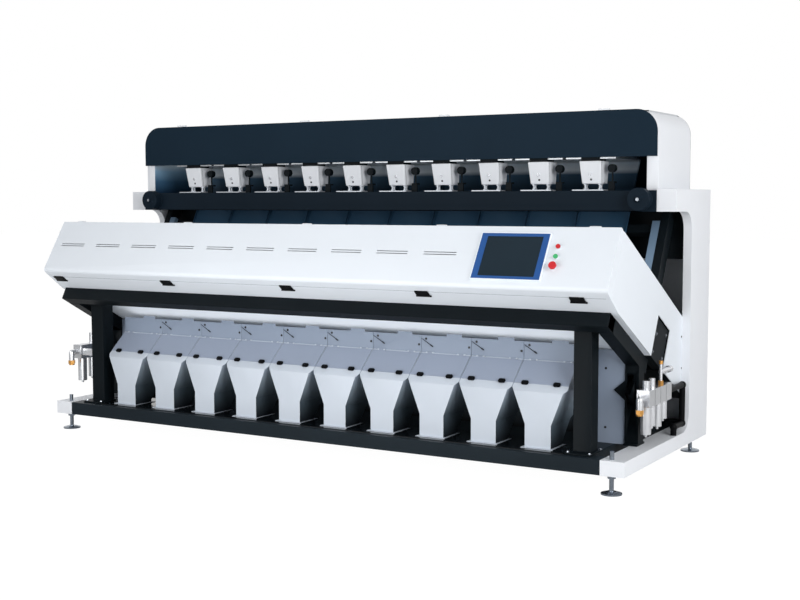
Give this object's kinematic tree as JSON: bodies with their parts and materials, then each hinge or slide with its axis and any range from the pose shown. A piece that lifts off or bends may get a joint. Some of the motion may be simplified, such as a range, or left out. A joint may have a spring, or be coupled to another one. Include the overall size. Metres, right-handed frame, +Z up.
{
  "type": "optical colour sorter",
  "caption": "Chute type optical colour sorter: hooded vibrating feeders, leaning chutes, a tilted optical box with a hinged front cover and touch screen, and a row of discharge hoppers.",
  "frame": {"origin": "on the floor, under the middle of the machine", "axes": "+X along the row of chutes to the right as seen from the front, +Y to the rear, +Z up"},
  "size_m": [3.914, 1.5211, 1.998],
  "materials": {
    "white_paint": "satin powder coat",
    "black_paint": "satin powder coat",
    "navy_paint": "satin",
    "chute_blue": "anodised",
    "rail_blue": "anodised",
    "hopper_grey": "satin",
    "door_grey": "satin",
    "zinc": "zinc plated",
    "air_metal": "cast",
    "bowl_metal": "cast",
    "brass": "turned",
    "black_plastic": "matte",
    "lamp": "diffuser",
    "pane": "clear",
    "bezel_blue": "gloss",
    "screen": "gloss",
    "button_red": "gloss",
    "button_green": "gloss"
  },
  "bodies": {
    "frame": {"left_side_frame": "white_paint", "right_side_frame": "white_paint", "hood_shell": "white_paint", "end_panels": "white_paint", "box_floor": "white_paint", "box_top": "white_paint", "vibrator_boxes": "white_paint", "hinge_pins": "white_paint", "base_front_beam": "black_paint", "base_members": "black_paint", "front_posts": "black_paint", "side_legs": "black_paint", "box_beam": "black_paint", "feeder_beam": "black_paint", "optics_frames": "black_paint", "rear_box": "black_paint", "chute_arms": "black_paint", "deck_plate": "black_paint", "vibrator_arms": "black_paint", "latch_mounts": "black_paint", "rear_cabinet": "black_paint", "hood_panels": "navy_paint", "chutes": "chute_blue", "chute_rails": "rail_blue", "hoppers": "hopper_grey", "vibrator_bases": "hopper_grey", "foot_studs": "zinc", "foot_pads": "zinc", "feed_bin": "zinc", "ejector_bar": "zinc", "air_units": "air_metal", "air_bowls": "bowl_metal", "air_fittings": "brass", "air_pipes": "black_plastic", "line_cameras": "black_plastic", "led_bars": "lamp", "window_glasses": "pane"},
    "cover": {"front_cover": "white_paint", "screen_bezel": "bezel_blue", "touch_screen": "screen"},
    "stop_button": {"stop_button": "button_red"},
    "start_button": {"start_button": "button_green"},
    "emergency_button": {"emergency_button": "button_red"},
    "trays": {"feeder_trays": "zinc"},
    "regulator_knob": {"regulator_knob": "black_plastic"},
    "hopper_door_1": {"hopper_door_1": "door_grey"},
    "hopper_door_2": {"hopper_door_2": "door_grey"},
    "hopper_door_3": {"hopper_door_3": "door_grey"},
    "hopper_door_4": {"hopper_door_4": "door_grey"},
    "hopper_door_5": {"hopper_door_5": "door_grey"},
    "hopper_door_6": {"hopper_door_6": "door_grey"},
    "hopper_door_7": {"hopper_door_7": "door_grey"},
    "hopper_door_8": {"hopper_door_8": "door_grey"},
    "hopper_door_9": {"hopper_door_9": "door_grey"},
    "hopper_door_10": {"hopper_door_10": "door_grey"},
    "cover_latch_1": {"cover_latch_1": "black_plastic"},
    "cover_latch_2": {"cover_latch_2": "black_plastic"},
    "cover_latch_3": {"cover_latch_3": "black_plastic"},
    "cover_latch_4": {"cover_latch_4": "black_plastic"},
    "cover_latch_5": {"cover_latch_5": "black_plastic"}
  },
  "joints": [
    {"name": "cover_hinge", "type": "hinge", "parent": "frame", "child": "cover", "pos_m": [0, -0.56123, 1.34977], "axis": [-1, 0, 0], "range_deg": [0, 70]},
    {"name": "hopper_door_1_hinge", "type": "hinge", "parent": "frame", "child": "hopper_door_1", "pos_m": [-1.44, -0.36451, 0.62939], "axis": [-1, 0, 0], "range_deg": [0, 90]},
    {"name": "hopper_door_2_hinge", "type": "hinge", "parent": "frame", "child": "hopper_door_2", "pos_m": [-1.12, -0.36451, 0.62939], "axis": [-1, 0, 0], "range_deg": [0, 90]},
    {"name": "hopper_door_3_hinge", "type": "hinge", "parent": "frame", "child": "hopper_door_3", "pos_m": [-0.8, -0.36451, 0.62939], "axis": [-1, 0, 0], "range_deg": [0, 90]},
    {"name": "hopper_door_4_hinge", "type": "hinge", "parent": "frame", "child": "hopper_door_4", "pos_m": [-0.48, -0.36451, 0.62939], "axis": [-1, 0, 0], "range_deg": [0, 90]},
    {"name": "hopper_door_5_hinge", "type": "hinge", "parent": "frame", "child": "hopper_door_5", "pos_m": [-0.16, -0.36451, 0.62939], "axis": [-1, 0, 0], "range_deg": [0, 90]},
    {"name": "hopper_door_6_hinge", "type": "hinge", "parent": "frame", "child": "hopper_door_6", "pos_m": [0.16, -0.36451, 0.62939], "axis": [-1, 0, 0], "range_deg": [0, 90]},
    {"name": "hopper_door_7_hinge", "type": "hinge", "parent": "frame", "child": "hopper_door_7", "pos_m": [0.48, -0.36451, 0.62939], "axis": [-1, 0, 0], "range_deg": [0, 90]},
    {"name": "hopper_door_8_hinge", "type": "hinge", "parent": "frame", "child": "hopper_door_8", "pos_m": [0.8, -0.36451, 0.62939], "axis": [-1, 0, 0], "range_deg": [0, 90]},
    {"name": "hopper_door_9_hinge", "type": "hinge", "parent": "frame", "child": "hopper_door_9", "pos_m": [1.12, -0.36451, 0.62939], "axis": [-1, 0, 0], "range_deg": [0, 90]},
    {"name": "hopper_door_10_hinge", "type": "hinge", "parent": "frame", "child": "hopper_door_10", "pos_m": [1.44, -0.36451, 0.62939], "axis": [-1, 0, 0], "range_deg": [0, 90]},
    {"name": "cover_latch_1_hinge", "type": "hinge", "parent": "frame", "child": "cover_latch_1", "pos_m": [-1.826, -0.68548, 0.97587], "axis": [1, 0, 0], "range_deg": [0, 35], "stiffness_Nm_per_rad": 0.5, "springref_deg": -57.3},
    {"name": "cover_latch_2_hinge", "type": "hinge", "parent": "frame", "child": "cover_latch_2", "pos_m": [-0.937, -0.68548, 0.97587], "axis": [1, 0, 0], "range_deg": [0, 35], "stiffness_Nm_per_rad": 0.5, "springref_deg": -57.3},
    {"name": "cover_latch_3_hinge", "type": "hinge", "parent": "frame", "child": "cover_latch_3", "pos_m": [-0.048, -0.68548, 0.97587], "axis": [1, 0, 0], "range_deg": [0, 35], "stiffness_Nm_per_rad": 0.5, "springref_deg": -57.3},
    {"name": "cover_latch_4_hinge", "type": "hinge", "parent": "frame", "child": "cover_latch_4", "pos_m": [0.841, -0.68548, 0.97587], "axis": [1, 0, 0], "range_deg": [0, 35], "stiffness_Nm_per_rad": 0.5, "springref_deg": -57.3},
    {"name": "cover_latch_5_hinge", "type": "hinge", "parent": "frame", "child": "cover_latch_5", "pos_m": [1.73, -0.68548, 0.97587], "axis": [1, 0, 0], "range_deg": [0, 35], "stiffness_Nm_per_rad": 0.5, "springref_deg": -57.3},
    {"name": "stop_button_press", "type": "slide", "parent": "cover", "child": "stop_button", "axis": [0, 0.847, -0.5315], "range_m": [0, 0.004], "stiffness_N_per_m": 400, "springref_m": -0.005},
    {"name": "start_button_press", "type": "slide", "parent": "cover", "child": "start_button", "axis": [0, 0.847, -0.5315], "range_m": [0, 0.004], "stiffness_N_per_m": 400, "springref_m": -0.005},
    {"name": "emergency_button_press", "type": "slide", "parent": "cover", "child": "emergency_button", "axis": [0, 0.847, -0.5315], "range_m": [0, 0.004], "stiffness_N_per_m": 400, "springref_m": -0.005},
    {"name": "tray_shake", "type": "slide", "parent": "frame", "child": "trays", "axis": [0, 1, 0], "range_m": [-0.0015, 0.0015], "stiffness_N_per_m": 200000},
    {"name": "regulator_turn", "type": "hinge", "parent": "frame", "child": "regulator_knob", "pos_m": [1.915, -0.19787, 0.49], "axis": [0, 0, 1], "range_deg": [-180, 180]}
  ]
}
